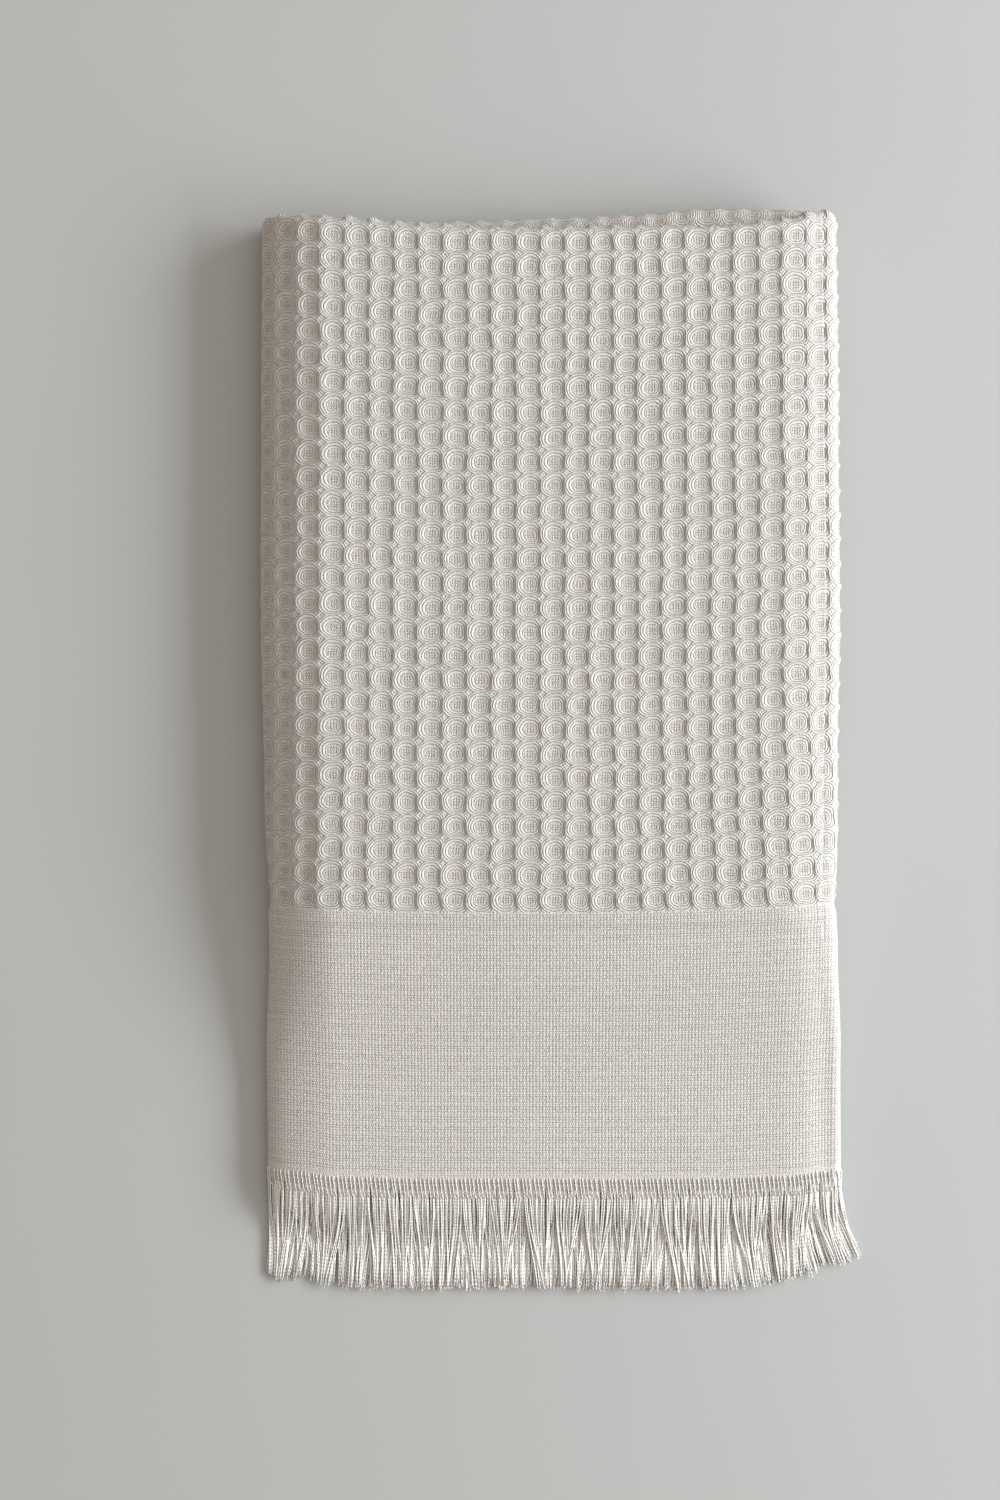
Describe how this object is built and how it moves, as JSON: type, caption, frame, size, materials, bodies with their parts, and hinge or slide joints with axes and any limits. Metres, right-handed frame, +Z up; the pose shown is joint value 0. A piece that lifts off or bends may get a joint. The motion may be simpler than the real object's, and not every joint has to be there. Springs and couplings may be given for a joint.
{
  "type": "folded face towel",
  "caption": "Folded face towel in off-white waffle cotton with a plain woven band and a cut fringe, lying flat as a soft rectangular stack.",
  "frame": {"origin": "middle of the part's box, on the surface that it lies on", "axes": "+Y along the length, from the fringe towards the top fold; +X across the width, from the rolled left fold to the tight right fold; +Z up, out of the show face"},
  "size_m": [0.1774, 0.319, 0.0199],
  "materials": {
    "waffle_cotton": "matt undyed cotton, waffle ground with deep square cells and a flat, finely ribbed band",
    "cotton_yarn": "matt undyed cotton yarn, cut and lightly untwisted"
  },
  "bodies": {
    "root": {"towel_cloth": "waffle_cotton", "fringe_outer_end": "cotton_yarn", "fringe_inner_end": "cotton_yarn"}
  },
  "joints": []
}
